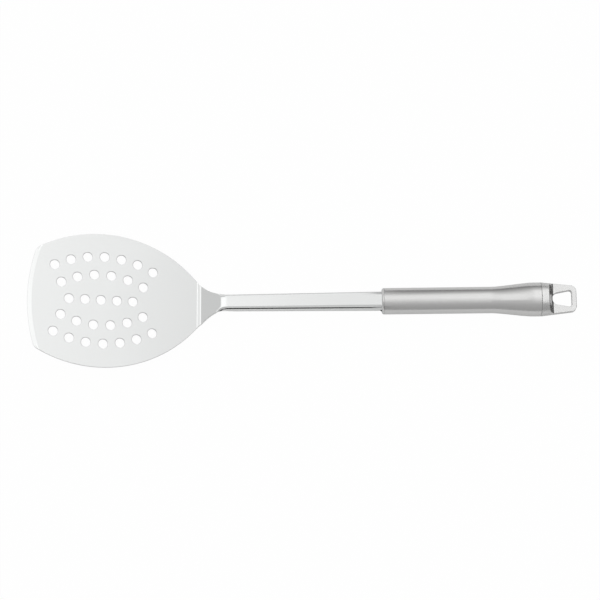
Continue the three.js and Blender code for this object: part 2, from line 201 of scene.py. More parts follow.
class NodeSheet:
    """Adds nodes to a tree and links them in one call."""

    def __init__(self, tree: bpy.types.NodeTree) -> None:
        """Work on one tree, emptied first.

        Args:
            tree: The tree to fill.
        """
        self.tree = tree
        tree.nodes.clear()

    def add(self, kind: str, inputs: dict[str | int, object] | None = None,
            **settings: object) -> bpy.types.Node:
        """Add a node.

        Args:
            kind: Blender's type name of the node.
            inputs: Input name or number to a value, or to the output socket that feeds it.
            settings: Attributes of the node.

        Returns:
            The new node.
        """
        node = self.tree.nodes.new(kind)
        for name, value in settings.items():
            setattr(node, name, value)
        for key, value in (inputs or {}).items():
            if isinstance(value, bpy.types.NodeSocket):
                self.tree.links.new(value, node.inputs[key])
            else:
                node.inputs[key].default_value = value
        return node

    def math(self, operation: str, *values: object) -> bpy.types.NodeSocket:
        """Add a Math node.

        Args:
            operation: Blender's name of the operation.
            values: Numbers or output sockets.

        Returns:
            Its output socket.
        """
        return self.add("ShaderNodeMath", dict(enumerate(values)), operation=operation).outputs[0]

    def hypot(self, first: bpy.types.NodeSocket,
              second: bpy.types.NodeSocket) -> bpy.types.NodeSocket:
        """Add the nodes that give the length of two parts at right angles."""
        squares = [self.math("MULTIPLY", part, part) for part in (first, second)]
        return self.math("SQRT", self.math("ADD", *squares))

    def ramp(self, value: bpy.types.NodeSocket, source: tuple[float, float],
             target: tuple[object, object], eased: bool = True) -> bpy.types.NodeSocket:
        """Add a Map Range node, held at both ends.

        Args:
            value: What is mapped.
            source: The range it is read in.
            target: The range it is written in, as numbers or output sockets.
            eased: Whether the ends are smoothed.

        Returns:
            Its output socket.
        """
        kind = "SMOOTHSTEP" if eased else "LINEAR"
        names = ("From Min", "From Max", "To Min", "To Max")
        inputs = dict(zip(names, (*source, *target)))
        node = self.add("ShaderNodeMapRange", {"Value": value, **inputs}, interpolation_type=kind)
        return node.outputs["Result"]


# Finishes


@dataclass(frozen=True)
class Steel(ABC):
    """A finish of stainless steel, patterned on Object coordinates."""

    NOISE_ROUGHNESS = 0.55
    PATCH_RANGE = (0.3, 0.7)

    name: str
    colour: tuple[float, float, float]
    shade: tuple[float, float, float]
    smooth: float
    dull: float
    turn: float = 0.0

    def material(self) -> bpy.types.Material:
        """Make the finish.

        Returns:
            The material.
        """
        made = bpy.data.materials.new(self.name)
        made.use_nodes = True
        sheet = NodeSheet(made.node_tree)
        coords = sheet.add("ShaderNodeTexCoord").outputs["Object"]
        turned = sheet.add("ShaderNodeMapping", {"Vector": coords, "Rotation": (0, self.turn, 0)})
        coords = turned.outputs[0]
        shader = sheet.add("ShaderNodeBsdfPrincipled", {"Metallic": 1.0})
        patches = self.patches(sheet, coords)
        tones = {MIX_FIRST: (*self.colour, 1), MIX_SECOND: (*self.shade, 1)}
        tone = sheet.add("ShaderNodeMix", {"Factor": patches, **tones}, data_type="RGBA")
        sheet.tree.links.new(tone.outputs[MIX_RESULT], shader.inputs["Base Color"])
        rough = sheet.ramp(patches, (0, 1), (self.smooth, self.dull), eased=False)
        sheet.tree.links.new(rough, shader.inputs["Roughness"])
        sheet.tree.links.new(self.relief(sheet, coords), shader.inputs["Normal"])
        self.tune(sheet, shader)
        output = sheet.add("ShaderNodeOutputMaterial")
        sheet.tree.links.new(shader.outputs[0], output.inputs["Surface"])
        return made

    def stretched(self, sheet: NodeSheet, coords: bpy.types.NodeSocket,
                  scale: tuple[float, float, float], detail: float) -> bpy.types.NodeSocket:
        """Add a noise that is stretched by its own scale on each axis.

        Args:
            sheet: The tree to add to.
            coords: Coordinates to read.
            scale: Features per metre on each axis.
            detail: Detail of the noise.

        Returns:
            The noise, from 0 to 1.
        """
        mapped = sheet.add("ShaderNodeMapping", {"Vector": coords, "Scale": scale})
        inputs = {"Vector": mapped.outputs[0], "Scale": 1.0, "Detail": detail}
        inputs["Roughness"] = self.NOISE_ROUGHNESS
        return sheet.add("ShaderNodeTexNoise", inputs).outputs[0]

    def patched(self, sheet: NodeSheet, noise: bpy.types.NodeSocket) -> bpy.types.NodeSocket:
        """Spread a noise out into patches, from 0 to 1."""
        return sheet.ramp(noise, self.PATCH_RANGE, (0, 1))

    def bump(self, sheet: NodeSheet, height: bpy.types.NodeSocket,
             depth: float) -> bpy.types.NodeSocket:
        """Add a bump.

        Args:
            sheet: The tree to add to.
            height: Height from 0 to 1.
            depth: What a height of 1 stands for, in metres.

        Returns:
            The bumped normal.
        """
        return sheet.add("ShaderNodeBump", {"Height": height, "Distance": depth}).outputs[0]

    def tune(self, sheet: NodeSheet, shader: bpy.types.Node) -> None:
        """Set what a finish has beyond the common sockets."""

    @abstractmethod
    def patches(self, sheet: NodeSheet, coords: bpy.types.NodeSocket) -> bpy.types.NodeSocket:
        """Give the share of duller, darker metal, from 0 to 1."""

    @abstractmethod
    def relief(self, sheet: NodeSheet, coords: bpy.types.NodeSocket) -> bpy.types.NodeSocket:
        """Give the normal with the finish's fine relief."""


@dataclass(frozen=True)
class CloudedSteel(Steel):
    """A finish whose dullness drifts in clouds."""

    cloud: float = 24.0
    cloud_detail: float = 4.0

    def patches(self, sheet: NodeSheet, coords: bpy.types.NodeSocket) -> bpy.types.NodeSocket:
        """Give the clouds."""
        scale = (self.cloud, self.cloud, self.cloud)
        return self.patched(sheet, self.stretched(sheet, coords, scale, self.cloud_detail))


@dataclass(frozen=True)
class PolishedSteel(CloudedSteel):
    """Polished sheet: broad faint clouding and hair-fine polishing lines along its length."""

    line_scale: tuple[float, float, float] = (45.0, 2600.0, 2600.0)
    line_detail: float = 2.0
    line_depth: float = 4e-8

    def relief(self, sheet: NodeSheet, coords: bpy.types.NodeSocket) -> bpy.types.NodeSocket:
        """Give the polishing lines."""
        lines = self.stretched(sheet, coords, self.line_scale, self.line_detail)
        return self.bump(sheet, lines, self.line_depth)


@dataclass(frozen=True)
class BrushedSteel(Steel):
    """Tube brushed round its girth: fine rings, and broader rings that are a little duller."""

    ring_scale: tuple[float, float, float] = (5200.0, 40.0, 40.0)
    streak_scale: tuple[float, float, float] = (2600.0, 16.0, 16.0)
    detail: float = 3.0
    ring_depth: float = 2e-7
    stretch: float = 0.6

    def patches(self, sheet: NodeSheet, coords: bpy.types.NodeSocket) -> bpy.types.NodeSocket:
        """Give rings of uneven dullness."""
        return self.patched(sheet, self.stretched(sheet, coords, self.streak_scale, self.detail))

    def relief(self, sheet: NodeSheet, coords: bpy.types.NodeSocket) -> bpy.types.NodeSocket:
        """Give the fine rings."""
        rings = self.stretched(sheet, coords, self.ring_scale, self.detail)
        return self.bump(sheet, rings, self.ring_depth)

    def tune(self, sheet: NodeSheet, shader: bpy.types.Node) -> None:
        """Draw the gloss out along the tube, across the brushing.

        Args:
            sheet: The tree to add to.
            shader: Its shader.
        """
        shader.inputs["Anisotropic"].default_value = self.stretch
        tangent = sheet.add("ShaderNodeTangent", direction_type="UV_MAP", uv_map=HandleTube.WRAP)
        sheet.tree.links.new(tangent.outputs[0], shader.inputs["Tangent"])


@dataclass(frozen=True)
class SatinSteel(CloudedSteel):
    """Blasted and lightly brushed casting: an even grain, with small faint clouds."""

    cloud: float = 260.0
    grain: float = 5200.0
    grain_detail: float = 2.0
    grain_depth: float = 6e-7

    def relief(self, sheet: NodeSheet, coords: bpy.types.NodeSocket) -> bpy.types.NodeSocket:
        """Give the blasted grain."""
        scale = (self.grain, self.grain, self.grain)
        grain = self.stretched(sheet, coords, scale, self.grain_detail)
        return self.bump(sheet, grain, self.grain_depth)


# Where the pieces lie


@dataclass(frozen=True)
class RestPose:
    """Frames of the stamping and the handle in the row, from millimetres to metres."""

    stamping: Matrix
    handle: Matrix

    @classmethod
    def from_record(cls, record: dict) -> "RestPose":
        """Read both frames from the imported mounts.

        Args:
            record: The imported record.

        Returns:
            The frames.
        """
        mounts = {mount["name"]: mount for mount in record["mounts"]}
        serving, hanging = mounts["serving_face"], mounts["hang_face"]
        normal = Vector(serving["axis"]).normalized()
        along = Vector((normal.z, 0, -normal.x))
        heel = Vector(serving["pos_m"]) + along * Stamping.SERVING_SETBACK * MM
        axis = -Vector(hanging["axis"]).normalized()
        nose = Vector(hanging["pos_m"]) - axis * EndCap().eye_rear * MM
        return cls(cls.frame(heel, along), cls.frame(nose, axis))

    @staticmethod
    def frame(origin: Vector, along: Vector) -> Matrix:
        """Make a frame that leans in the XZ plane.

        Args:
            origin: Its origin, in metres.
            along: Its X axis.

        Returns:
            The matrix from millimetres in that frame to metres in the row.
        """
        up = Vector((-along.z, 0, along.x))
        turn = Matrix((along, Vector((0, 1, 0)), up)).transposed().to_4x4()
        return Matrix.Translation(origin) @ turn @ Matrix.Scale(MM, 4)

    @property
    def handle_lean(self) -> float:
        """Turn about Y that lays the handle's axis along X."""
        return math.atan2(self.handle[2][0], self.handle[0][0])


# The stamping


@dataclass
class DrainHoles:
    """Punched holes: a straight middle row, and rows on both sides that follow the blade's side."""

    radius: float = 3.25
    edge_round: float = 0.3
    middle_count: int = 5
    middle_share: float = 0.0935
    side_share: float = 0.1
    insets: tuple[float, float] = (28.9, 16.2)
    ease: float = 2.75
    shift: float = 0.95
    facets: int = 64
    round_steps: int = 5
    flare: float = 72.0
    overrun: float = 0.3

    def punch(self, sheet: float) -> bpy.types.Object:
        """Make the tool that cuts one hole, flared so that it leaves both edges rounded.

        Args:
            sheet: Thickness of the sheet, which lies below height 0.

        Returns:
            The punch as an object.
        """
        edge, flare = self.edge_round, math.radians(self.flare)
        half = []
        for step in range(self.round_steps + 1):
            angle = flare * step / self.round_steps
            half.append((-edge + edge * math.sin(angle), self.radius + edge * (1 - math.cos(angle))))
        rise = self.overrun - half[-1][0]
        half.append((self.overrun, half[-1][1] + rise * math.tan(flare)))
        profile = [(-sheet - height, radius) for height, radius in reversed(half)] + half
        bm = bmesh.new()
        rings = []
        for height, radius in profile:
            angles = [2 * math.pi * i / self.facets for i in range(self.facets)]
            places = [(radius * math.cos(a), radius * math.sin(a), height) for a in angles]
            rings.append([bm.verts.new(place) for place in places])
        for lower, upper in zip(rings, rings[1:]):
            for i, start in enumerate(lower):
                bm.faces.new((start, lower[i + 1 - self.facets], upper[i + 1 - self.facets], upper[i]))
        bm.faces.new(list(reversed(rings[0])))
        bm.faces.new(rings[-1])
        bm.normal_update()
        return link_object("hole_punch", plain_mesh("hole_punch", bm))

    def row_group(self) -> bpy.types.NodeTree:
        """Make the node group that lays one curved row of points on both sides of the blade.

        Returns:
            The group.
        """
        tree = bpy.data.node_groups.new("hole_row", "GeometryNodeTree")
        sheet = NodeSheet(tree)
        tree.interface.new_socket("Count", in_out="INPUT", socket_type="NodeSocketInt")
        for name in ("Pitch", "Radius", "Centre X", "Centre Y", "Shift"):
            tree.interface.new_socket(name, in_out="INPUT", socket_type="NodeSocketFloat")
        tree.interface.new_socket("Points", in_out="OUTPUT", socket_type="NodeSocketGeometry")
        given = sheet.add("NodeGroupInput").outputs
        line = sheet.add("GeometryNodeMeshLine", {"Count": given["Count"]}).outputs[0]
        middle = sheet.math("MULTIPLY", sheet.math("SUBTRACT", given["Count"], 1.0), 0.5)
        index = sheet.add("GeometryNodeInputIndex").outputs[0]
        steps = sheet.math("SUBTRACT", index, middle)
        arc = sheet.math("MULTIPLY_ADD", steps, given["Pitch"], given["Shift"])
        angle = sheet.math("DIVIDE", arc, given["Radius"])
        x = sheet.math("MULTIPLY_ADD", sheet.math("SINE", angle), given["Radius"], given["Centre X"])
        y = sheet.math("MULTIPLY_ADD", sheet.math("COSINE", angle), given["Radius"], given["Centre Y"])
        place = sheet.add("ShaderNodeCombineXYZ", {"X": x, "Y": y}).outputs[0]
        row = sheet.add("GeometryNodeSetPosition", {"Geometry": line, "Position": place}).outputs[0]
        mirrored = sheet.add("GeometryNodeTransform", {"Geometry": row, "Scale": (1, -1, 1)})
        both = sheet.add("GeometryNodeJoinGeometry", {"Geometry": row})
        tree.links.new(mirrored.outputs[0], both.inputs[0])
        sheet.add("NodeGroupOutput", {"Points": both.outputs[0]})
        return tree

    def tree(self) -> bpy.types.NodeTree:
        """Make the tree that punches all the holes through a blank.

        Returns:
            The tree.
        """
        tree = bpy.data.node_groups.new("drain_holes", "GeometryNodeTree")
        sheet = NodeSheet(tree)
        sockets = tree.interface
        sockets.new_socket("Geometry", in_out="INPUT", socket_type="NodeSocketGeometry")
        sockets.new_socket("Punch", in_out="INPUT", socket_type="NodeSocketObject")
        sockets.new_socket("Finish", in_out="INPUT", socket_type="NodeSocketMaterial")
        sockets.new_socket("Middle Count", in_out="INPUT", socket_type="NodeSocketInt")
        for name in ("Middle Pitch", "Side Pitch", "Inner Radius", "Outer Radius",
                     "Centre X", "Centre Y", "Shift"):
            sockets.new_socket(name, in_out="INPUT", socket_type="NodeSocketFloat")
        sockets.new_socket("Geometry", in_out="OUTPUT", socket_type="NodeSocketGeometry")
        given = sheet.add("NodeGroupInput").outputs
        count = given["Middle Count"]
        reach = sheet.math("MULTIPLY", sheet.math("SUBTRACT", count, 1.0), 0.5)
        start = sheet.math("MULTIPLY_ADD", sheet.math("MULTIPLY", reach, -1.0),
                           given["Middle Pitch"], given["Centre X"])
        first = sheet.add("ShaderNodeCombineXYZ", {"X": start}).outputs[0]
        step = sheet.add("ShaderNodeCombineXYZ", {"X": given["Middle Pitch"]}).outputs[0]
        line = {"Count": count, "Start Location": first, "Offset": step}
        rows = sheet.add("GeometryNodeJoinGeometry",
                         {"Geometry": sheet.add("GeometryNodeMeshLine", line).outputs[0]})
        group = self.row_group()
        for number, radius in enumerate(("Inner Radius", "Outer Radius"), start=1):
            row = sheet.add("GeometryNodeGroup", node_tree=group)
            links = {
                "Count": sheet.math("ADD", count, float(number)),
                "Pitch": given["Side Pitch"],
                "Radius": given[radius],
                "Centre X": given["Centre X"],
                "Centre Y": given["Centre Y"],
                "Shift": sheet.math("MULTIPLY", given["Shift"], float(number)),
            }
            for name, socket in links.items():
                tree.links.new(socket, row.inputs[name])
            tree.links.new(row.outputs[0], rows.inputs[0])
        punch = sheet.add("GeometryNodeObjectInfo", {"Object": given["Punch"]})
        punches = {"Points": rows.outputs[0], "Instance": punch.outputs["Geometry"]}
        set_out = sheet.add("GeometryNodeInstanceOnPoints", punches).outputs[0]
        tools = sheet.add("GeometryNodeRealizeInstances", {"Geometry": set_out}).outputs[0]
        cut = sheet.add("GeometryNodeMeshBoolean", operation="DIFFERENCE", solver="EXACT")
        tree.links.new(given["Geometry"], cut.inputs["Mesh 1"])
        tree.links.new(tools, cut.inputs["Mesh 2"])
        whole = sheet.add("GeometryNodeRealizeInstances", {"Geometry": cut.outputs[0]}).outputs[0]
        dressed = {"Geometry": whole, "Material": given["Finish"]}
        result = sheet.add("GeometryNodeSetMaterial", dressed).outputs[0]
        sheet.add("NodeGroupOutput", {"Geometry": result})
        return tree

    def cut(self, blank: bpy.types.Object, stamping: "Stamping",
            finish: bpy.types.Material) -> None:
        """Punch the holes through the blank.

        Args:
            blank: The stamping without its holes.
            stamping: The sizes that the rows follow.
            finish: Material of the sheet.
        """
        tree = self.tree()
        punch = self.punch(stamping.sheet)
        side = stamping.side_radius + self.ease
        values = {
            "Punch": punch,
            "Finish": finish,
            "Middle Count": self.middle_count,
            "Middle Pitch": self.middle_share * stamping.blade_length,
            "Side Pitch": self.side_share * stamping.blade_length,
            "Inner Radius": side - self.insets[0],
            "Outer Radius": side - self.insets[1],
            "Centre X": stamping.side_centre[0],
            "Centre Y": stamping.side_centre[1] - self.ease,
            "Shift": self.shift,
        }
        modifier = blank.modifiers.new("drain holes", "NODES")
        modifier.node_group = tree
        for item in tree.interface.items_tree:
            if item.item_type == "SOCKET" and item.in_out == "INPUT" and item.name in values:
                modifier[item.identifier] = values[item.name]
        settle(blank)
        mesh = punch.data
        bpy.data.objects.remove(punch)
        bpy.data.meshes.remove(mesh)


@dataclass
class Stamping:
    """Blade, neck, shank and tang, stamped and bent from one polished sheet."""

    SERVING_SETBACK = 20.0

    sheet: float = 1.5
    blade_length: float = 116.1
    blade_half_width: float = 46.5
    heel_half_width: float = 15.93
    widest_share: float = 0.572
    front_radius: float = 115.0
    corner_radius: float = 6.0
    bevel_width: float = 2.6
    bevel_edge: float = 0.6
    edge_round: float = 0.22
    neck_angle: float = 46.0
    shank_angle: float = 16.15
    heel_bend_radius: float = 4.5
    heel_first_radius: float = 3.2
    heel_first_angle: float = 14.5
    heel_flat: float = 1.6
    heel_second_radius: float = 2.6
    heel_lead: float = 0.9
    neck_straight: float = 14.0
    neck_bend_radius: float = 12.0
    shank_length: float = 104.2
    tang_length: float = 14.0
    fold_radius: float = 3.2
    fold_angle: float = 88.0
    shank_front_half_width: float = 5.68
    shank_front_depth: float = 5.0
    shank_rear_depth: float = 6.0
    shank_above_axis: float = 4.8
    nose_reach: float = 6.56
    fold_start: float = 14.5
    fold_end: float = 30.0
    fold_clear: float = 1.0
    fold_share: float = 0.7
    least_fold_zone: float = 1.2
    neck_blend: float = 24.0
    neck_ease: float = 0.82
    side_steps: int = 60
    corner_steps: int = 14
    front_steps: int = 40
    round_steps: int = 4
    bend_steps: int = 10
    neck_steps: int = 24
    flat_steps: int = 5
    fold_steps: int = 10
    lip_steps: int = 2
    shank_steps: int = 14
    merge_distance: float = 1e-4
    bevel_slack: float = 0.01
    flat_slack: float = 1e-4
    holes: DrainHoles = field(default_factory=DrainHoles)

    def __post_init__(self) -> None:
        """Work out the sizes that follow from the others."""
        widest = self.widest_share * self.blade_length
        swell = self.blade_half_width - self.heel_half_width
        self.side_radius = (swell**2 + widest**2) / (2 * swell)
        self.side_centre = (-widest, self.blade_half_width - self.side_radius)
        self.front_centre = (self.front_radius - self.blade_length, 0.0)
        self.heel_slope = -widest / (self.side_radius - swell)
        self.fold_middle = self.fold_radius - self.sheet / 2
        self.fold_turn = math.radians(self.fold_angle)
        self.fold_length = self.fold_middle * self.fold_turn
        self.stretches = self.side_stretches()
        self.shank_start = self.heel_start + sum(stretch for stretch, _ in self.stretches)
        self.shank_end = self.shank_start + self.shank_length
        below = self.shank_rear_depth - self.shank_above_axis
        self.rear_half_width = math.sqrt(self.nose_reach**2 - below**2)

    # Rules of the bent sheet

    def side_stretches(self) -> list[tuple[float, float]]:
        """Lay out the side view: a heel bend in two steps, the neck and the neck bend.

        The two steps join the same straight lines that one plain bend of the heel radius, from X 0,
        would join. This also sets where they start.

        Returns:
            Length and curvature of each stretch from there on, an upward turn positive.
        """
        whole, first = math.radians(self.neck_angle), math.radians(self.heel_first_angle)
        one, two = self.heel_first_radius, self.heel_second_radius
        run = one * math.sin(first) + self.heel_flat * math.cos(first)
        run += two * (math.sin(whole) - math.sin(first))
        rise = one * (1 - math.cos(first)) + self.heel_flat * math.sin(first)
        rise += two * (math.cos(first) - math.cos(whole))
        corner = self.heel_bend_radius * math.tan(whole / 2)
        self.heel_start = corner + rise / math.tan(whole) - run
        neck = corner + self.neck_straight - rise / math.sin(whole)
        back = math.radians(self.neck_angle - self.shank_angle)
        return [(one * first, 1 / one), (self.heel_flat, 0.0), (two * (whole - first), 1 / two),
                (neck, 0.0), (self.neck_bend_radius * back, -1 / self.neck_bend_radius)]

    def side_view(self, length: float) -> tuple[float, float, float]:
        """Follow the middle of the sheet from the heel.

        Args:
            length: Distance along the sheet from X 0.

        Returns:
            X, Z and slope there.
        """
        x, z, slope = min(length, self.heel_start), -self.sheet / 2, 0.0
        left = max(length - self.heel_start, 0.0)
        for stretch, curvature in (*self.stretches, (math.inf, 0.0)):
            share = min(left, stretch)
            left -= share
            turn = share * curvature
            chord = 2 / curvature * math.sin(turn / 2) if curvature else share
            x += chord * math.cos(slope + turn / 2)
            z += chord * math.sin(slope + turn / 2)
            slope += turn
        return x, z, slope

    def half_width(self, length: float) -> float:
        """Give half the width of the strip, seen from above.

        Args:
            length: Distance from the heel bend.

        Returns:
            The half width there.
        """
        if length < 0:
            reach = length - self.side_centre[0]
            return self.side_centre[1] + math.sqrt(self.side_radius**2 - reach**2)
        at = min(length, self.shank_end)
        t = min(at / self.neck_blend, 1.0)
        keep = 1 - t * t * (3 - 2 * t)
        lean = t * (1 - t) ** 2 * self.neck_blend * self.heel_slope * self.neck_ease
        share = max(at - self.neck_blend, 0.0) / (self.shank_end - self.neck_blend)
        grown = self.rear_half_width - self.shank_front_half_width
        shank = self.shank_front_half_width + share * grown
        return self.heel_half_width * keep + lean + shank * (1 - keep)

    def section(self, length: float) -> tuple[float, float]:
        """Give the section of the strip, whose edges are rolled down over a fixed radius.

        Args:
            length: Distance from the heel bend.

        Returns:
            Half width of its flat, and the width of sheet that is rolled or hangs past it.
        """
        at = min(max(length, self.fold_end), self.shank_end)
        share = (at - self.fold_end) / (self.shank_end - self.fold_end)
        depth = self.shank_front_depth + share * (self.shank_rear_depth - self.shank_front_depth)
        whole = self.fold_length + (depth - self.fold_radius) / math.sin(self.fold_turn)
        left = (self.fold_end - length) / (self.fold_end - self.fold_start)
        rolled = whole * (1 - min(max(left, 0.0), 1.0) ** 2)
        turn = min(rolled / self.fold_middle, self.fold_turn)
        hang = max(rolled - self.fold_length, 0.0) * math.cos(self.fold_turn)
        return self.half_width(length) - self.fold_radius * math.sin(turn) - hang, rolled

    def blank_half_width(self, length: float) -> float:
        """Give half the width of the flat blank, before its edges are folded."""
        return sum(self.section(length))

    def bent(self, place: Place) -> Vector:
        """Take a place on the flat blank to where the bends put it.

        Args:
            place: The place on the blank.

        Returns:
            The point in the stamping's frame.
        """
        flat, _ = self.section(place.along)
        side = math.copysign(1.0, place.across)
        reach = abs(place.across)
        past = max(reach - flat, 0.0)
        turn = min(past / self.fold_middle, self.fold_turn)
        hang = max(past - self.fold_length, 0.0)
        y = min(reach, flat) + self.fold_middle * math.sin(turn) + hang * math.cos(turn)
        up = -self.fold_middle * (1 - math.cos(turn)) - hang * math.sin(turn)
        y += place.up * math.sin(turn)
        up += place.up * math.cos(turn)
        x, z, slope = self.side_view(place.along)
        return Vector((x - up * math.sin(slope), side * y, z + up * math.cos(slope)))

    # Rim

    def corner_centre(self) -> tuple[float, float]:
        """Find the centre of the corner arc that touches the side and the front arcs.

        Returns:
            Its X and Y, on the +Y side.
        """
        to_side = self.side_radius - self.corner_radius
        to_front = self.front_radius - self.corner_radius
        line = Vector(self.front_centre) - Vector(self.side_centre)
        gap = line.length
        share = (gap**2 + to_side**2 - to_front**2) / (2 * gap)
        height = math.sqrt(to_side**2 - share**2)
        unit = line.normalized()
        found = Vector(self.side_centre) + unit * share + Vector((-unit.y, unit.x)) * height
        return found.x, found.y

    def outline_stations(self) -> list[RimStation]:
        """Follow the rim of the blade on the +Y side.

        Returns:
            Stations from just past the heel to the middle of the front edge.
        """
        corner = self.corner_centre()
        (sx, sy), (fx, _) = self.side_centre, self.front_centre
        heel = math.atan2(self.half_width(-self.heel_lead) - sy, -self.heel_lead - sx)
        side_end = math.atan2(corner[1] - sy, corner[0] - sx)
        front_end = math.atan2(corner[1], corner[0] - fx)
        arcs = ((self.side_centre, self.side_radius, heel, side_end, self.side_steps),
                (corner, self.corner_radius, side_end, front_end, self.corner_steps),
                (self.front_centre, self.front_radius, front_end, math.pi, self.front_steps))
        stations = []
        for (cx, cy), radius, start, end, steps in arcs:
            for step in range(1, steps + 1):
                angle = start + (end - start) * step / steps
                out = (math.cos(angle), math.sin(angle))
                along, across = cx + radius * out[0], cy + radius * out[1]
                reach = math.hypot(along - fx, across)
                bevel = max(reach - self.front_radius + self.bevel_width, 0.0)
                stations.append(RimStation(along, across, *out, bevel))
        return stations

    def strip_stations(self) -> list[RimStation]:
        """Follow the rim of the neck, shank and tang on the +Y side.

        Returns:
            Stations from the heel to the end of the tang.
        """
        fold_done = max(self.fold_end, self.neck_blend, self.shank_start + self.fold_clear)
        lengths = [-self.heel_lead, self.heel_start]
        steps = (self.bend_steps, self.lip_steps, self.bend_steps, self.neck_steps, self.neck_steps)
        spans = list(zip((stretch for stretch, _ in self.stretches), steps))
        spans += [(fold_done - self.shank_start, self.fold_steps),
                  (self.shank_end - fold_done, self.shank_steps), (self.tang_length, self.lip_steps)]
        for span, count in spans:
            start = lengths[-1]
            lengths += [start + span * step / count for step in range(1, count + 1)]
        stations = []
        for length in lengths:
            ahead = self.blank_half_width(length + SLOPE_STEP)
            slope = (ahead - self.blank_half_width(length - SLOPE_STEP)) / (2 * SLOPE_STEP)
            norm = math.hypot(slope, 1)
            half = self.blank_half_width(length)
            stations.append(RimStation(length, half, -slope / norm, 1 / norm, 0.0))
        return stations

    def rim_profile(self, bevel: float) -> list[tuple[float, float]]:
        """Give the rounded edge of the sheet, with the ground bevel above it.

        Args:
            bevel: Width of the bevel here.

        Returns:
            Distance inside the rim and height over the middle of the sheet, from the top to below.
        """
        top, edge = self.sheet / 2, self.edge_round
        drop = bevel * (self.sheet - self.bevel_edge) / self.bevel_width
        angles = [math.pi / 2 * step / self.round_steps for step in range(self.round_steps + 1)]
        upper = [(edge * (1 - math.sin(a)), top - drop - edge * (1 - math.cos(a))) for a in angles]
        lower = [(edge * (1 - math.cos(a)), edge * (1 - math.sin(a)) - top) for a in angles]
        return [(bevel + edge, top), *upper, *lower]

    # Mesh

    def rim_verts(self, bm: bmesh.types.BMesh, station: RimStation,
                  side: int) -> list[bmesh.types.BMVert]:
        """Add the vertices of the edge at one station.

        Args:
            bm: The mesh under way.
            station: The station, on the +Y side.
            side: 1 for that side, -1 for the other.

        Returns:
            The vertices from the top to below. Where there is no bevel, the first two are one.
        """
        verts = []
        for inset, up in self.rim_profile(station.bevel):
            along = station.along - station.out_along * inset
            across = station.across - station.out_across * inset
            point = self.bent(Place(along, side * across, up))
            same = verts and (verts[-1].co - point).length < self.merge_distance
            verts.append(verts[-1] if same else bm.verts.new(point))
        return verts

    def row_verts(self, bm: bmesh.types.BMesh, station: RimStation,
                  up: float) -> list[bmesh.types.BMVert]:
        """Add one row of vertices across the sheet, without the two at its rim.

        Args:
            bm: The mesh under way.
            station: The station of the row.
            up: Height over the middle of the sheet.

        Returns:
            The vertices from the -Y side to the +Y side.
        """
        along = station.along - station.out_along * self.edge_round
        reach = station.across - station.out_across * self.edge_round
        flat = min(self.section(along)[0], reach - self.least_fold_zone)
        bend = min(self.fold_length, self.fold_share * (reach - flat))
        lip = reach - flat - bend
        places = [flat * k / self.flat_steps for k in range(1, self.flat_steps)]
        places += [flat + bend * k / self.fold_steps for k in range(self.fold_steps)]
        places += [flat + bend + lip * k / self.lip_steps for k in range(self.lip_steps)]
        across = [-place for place in reversed(places)] + [0.0] + places
        return [bm.verts.new(self.bent(Place(along, place, up))) for place in across]

    @staticmethod
    def patch(bm: bmesh.types.BMesh, corners: list[bmesh.types.BMVert]) -> None:
        """Add a face, with corners that are one vertex counted once.

        Args:
            bm: The mesh under way.
            corners: Its corners in order.
        """
        loop = [v for i, v in enumerate(corners) if v is not corners[i - 1]]
        if len(loop) > 2:
            bm.faces.new(loop)

    def blank(self) -> bpy.types.Object:
        """Build the bent sheet without its holes.

        Returns:
            The blank, in millimetres in its own frame.
        """
        bm = bmesh.new()
        strip, outline = self.strip_stations(), self.outline_stations()
        left = [self.rim_verts(bm, station, 1) for station in strip]
        right = [self.rim_verts(bm, station, -1) for station in strip]
        blade = [self.rim_verts(bm, station, 1) for station in outline]
        blade += [self.rim_verts(bm, station, -1) for station in reversed(outline[:-1])]
        rim = [*reversed(left), *blade, *right]
        half = self.sheet / 2
        top, low = [], []
        for i, station in enumerate(strip):
            top.append([right[i][0], *self.row_verts(bm, station, half), left[i][0]])
            low.append([right[i][-1], *self.row_verts(bm, station, -half), left[i][-1]])
        for rows in (rim, top, low):
            for one, two in zip(rows, rows[1:]):
                for k in range(len(one) - 1):
                    self.patch(bm, [one[k], two[k], two[k + 1], one[k + 1]])
        bm.faces.new([verts[0] for verts in blade] + top[0])
        bm.faces.new([verts[-1] for verts in blade] + low[0])
        self.patch(bm, top[-1] + left[-1][1:-1] + low[-1][::-1] + right[-1][1:-1][::-1])
        bmesh.ops.recalc_face_normals(bm, faces=bm.faces)
        return link_object("dressed_blade_and_shank", plain_mesh("blank", bm))

    def crease_bevel(self, mesh: bpy.types.Mesh) -> None:
        """Keep the line between the flat top and the ground bevel crisp.

        Args:
            mesh: The punched sheet, in its own frame.
        """
        ground = math.cos(math.atan2(self.sheet - self.bevel_edge, self.bevel_width))
        bm = bmesh.new()
        bm.from_mesh(mesh)
        bm.normal_update()
        for edge in bm.edges:
            heights = sorted(face.normal.z for face in edge.link_faces)
            if len(heights) != 2:
                continue
            if abs(heights[0] - ground) < self.bevel_slack and 1 - heights[1] < self.flat_slack:
                edge.smooth = False
        bm.to_mesh(mesh)
        bm.free()

    def build(self, pose: RestPose, finish: bpy.types.Material) -> bpy.types.Object:
        """Build the stamping and lay it in the row.

        Args:
            pose: Where it lies.
            finish: Its material.

        Returns:
            The finished piece.
        """
        piece = self.blank()
        self.holes.cut(piece, self, finish)
        piece.data.shade_smooth()
        self.crease_bevel(piece.data)
        piece.data.transform(pose.stamping)
        weigh_normals(piece)
        hand_over(piece)
        return piece


# The handle


